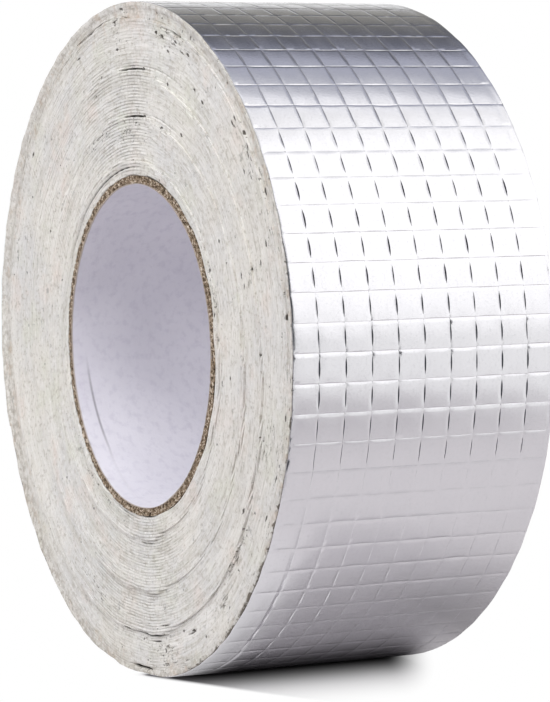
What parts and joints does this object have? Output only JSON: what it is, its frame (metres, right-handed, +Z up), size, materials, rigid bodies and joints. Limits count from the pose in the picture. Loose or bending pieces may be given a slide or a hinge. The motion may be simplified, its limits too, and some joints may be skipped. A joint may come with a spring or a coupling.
{
  "type": "roll of butyl foil tape",
  "caption": "Roll of off-white butyl tape faced with silver aluminium foil pressed into small squares, wound on a chipboard core with a white liner and standing on its tread.",
  "frame": {"origin": "on the floor under the middle of the roll, at the centre of the base of the bounding box", "axes": "+Z up, +Y along the roll's axis away from the end that shows its face, +X across the roll"},
  "size_m": [0.12, 0.0502, 0.1193],
  "materials": {
    "butyl": "matte, off-white butyl with fine turn lines and small dark specks",
    "foil": "satin foil, embossed with a 5 mm grid of squares",
    "chipboard": "rough cut brown chipboard",
    "liner_paper": "matte white wound paper"
  },
  "bodies": {
    "root": {"tape_winding": "butyl", "foil_facing": "foil", "core_tube": "chipboard", "core_liner": "liner_paper"}
  },
  "joints": []
}
